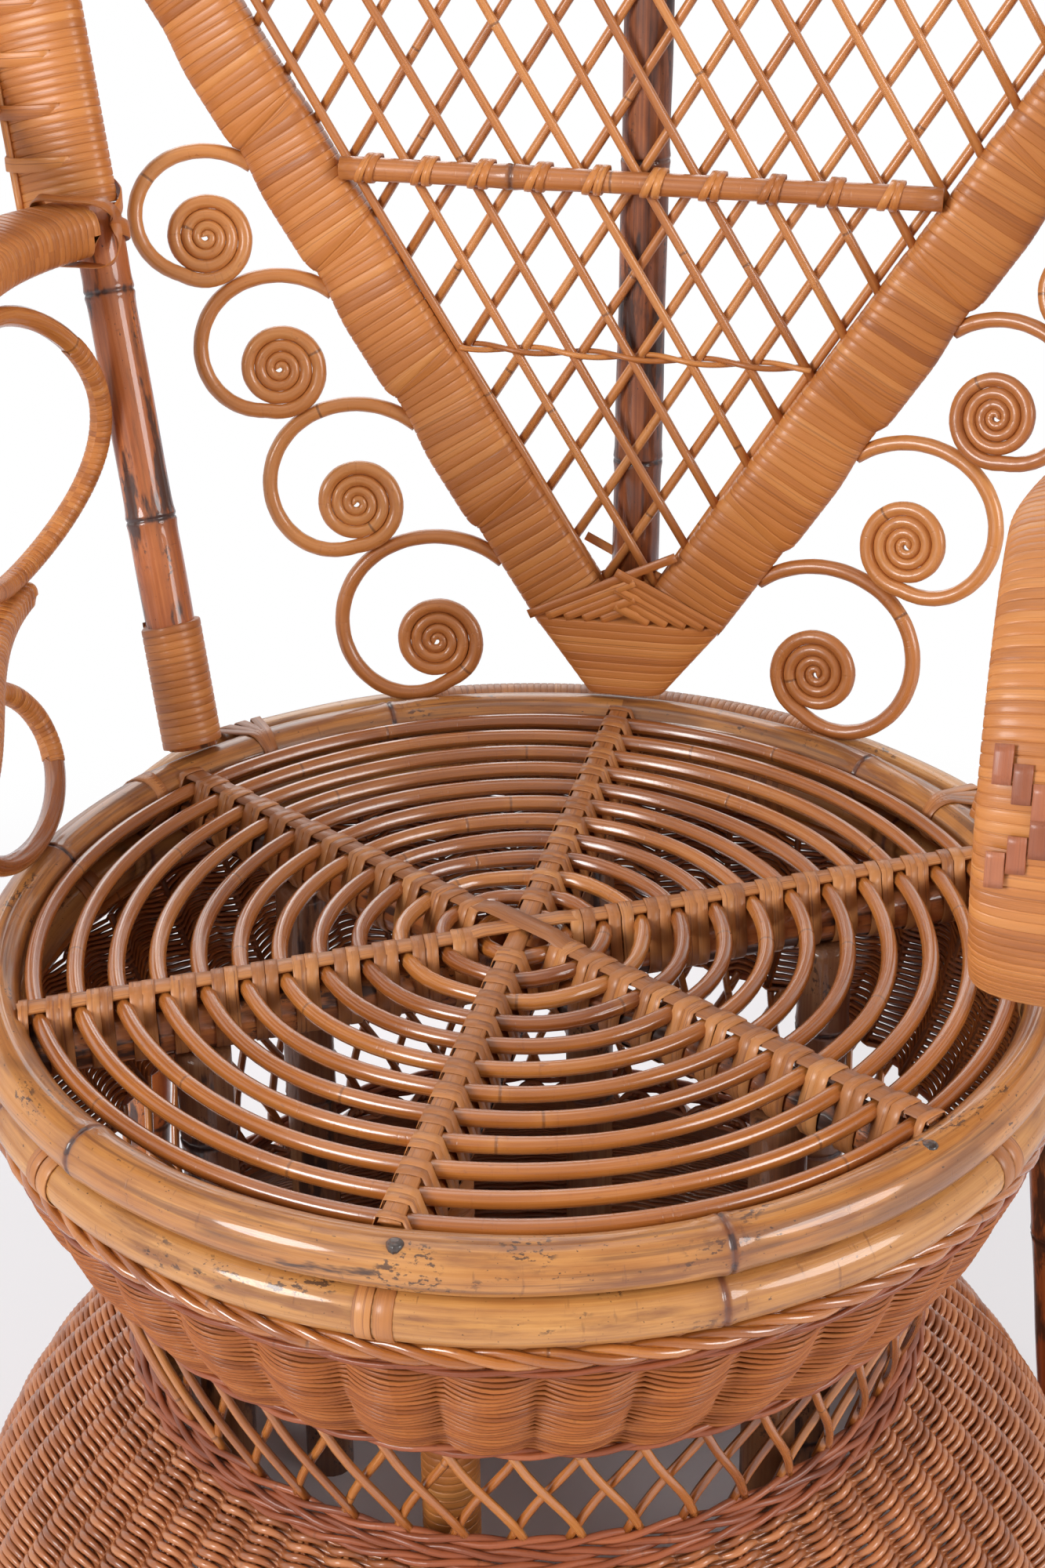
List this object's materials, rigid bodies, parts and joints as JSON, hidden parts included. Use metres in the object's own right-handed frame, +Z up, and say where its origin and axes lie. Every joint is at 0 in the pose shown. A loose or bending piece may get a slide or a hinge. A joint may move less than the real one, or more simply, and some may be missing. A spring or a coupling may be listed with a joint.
{
  "type": "peacock chair",
  "caption": "Wicker peacock chair with a round cane seat on an hour-glass woven base, scroll-edged lattice back, hairpin arms and a tall open fan.",
  "frame": {"origin": "middle of the bounding box at floor level", "axes": "+Z up, -Y towards the front of the chair, +X to the right as seen from the front"},
  "size_m": [1.05, 0.6442, 1.488],
  "materials": {
    "cane": "satin varnished round cane",
    "wrap": "satin varnished flat cane wrapping",
    "bamboo": "satin varnished bamboo with dark nodes",
    "dark_bamboo": "dark stained bamboo",
    "dyed_cane": "reddish dyed cane braid",
    "weave": "fine woven cane"
  },
  "bodies": {
    "root": {"seat_rim_upper": "bamboo", "seat_rim_lower": "bamboo", "rear_leg_left": "bamboo", "rear_leg_right": "bamboo", "base_hoop": "bamboo", "side_pole_left": "bamboo", "side_pole_right": "bamboo", "spoke_front_back": "wrap", "spoke_front_right": "wrap", "spoke_back_right": "wrap", "spoke_back_left": "wrap", "spoke_front_left": "wrap", "seat_strip_front_back": "wrap", "seat_strip_left_right": "wrap", "seat_strip_corner": "wrap", "post_front": "wrap", "post_back": "wrap", "post_front_right": "wrap", "post_back_right": "wrap", "post_back_left": "wrap", "post_front_left": "wrap", "back_foot": "wrap", "back_frame": "wrap", "lattice_rail": "wrap", "arm_left": "wrap", "arm_right": "wrap", "outer_hoop": "wrap", "seat_cane_01": "cane", "seat_cane_02": "cane", "seat_cane_03": "cane", "seat_cane_04": "cane", "seat_cane_05": "cane", "seat_cane_06": "cane", "seat_cane_07": "cane", "seat_cane_08": "cane", "seat_cane_09": "cane", "seat_cane_10": "cane", "seat_cane_11": "cane", "seat_cane_12": "cane", "bowl_top_braid": "cane", "waist_lattice": "cane", "back_lattice": "cane", "fan_lacework": "cane", "scroll_left_1": "cane", "scroll_left_2": "cane", "scroll_left_3": "cane", "scroll_left_4": "cane", "arm_oval_left": "cane", "rim_oval_left": "cane", "scroll_right_1": "cane", "scroll_right_2": "cane", "scroll_right_3": "cane", "scroll_right_4": "cane", "arm_oval_right": "cane", "rim_oval_right": "cane", "centre_pole": "dark_bamboo", "bowl_foot_braid": "dyed_cane", "skirt_top_braid": "dyed_cane", "bowl_weave": "weave", "skirt_weave": "weave"}
  },
  "joints": []
}
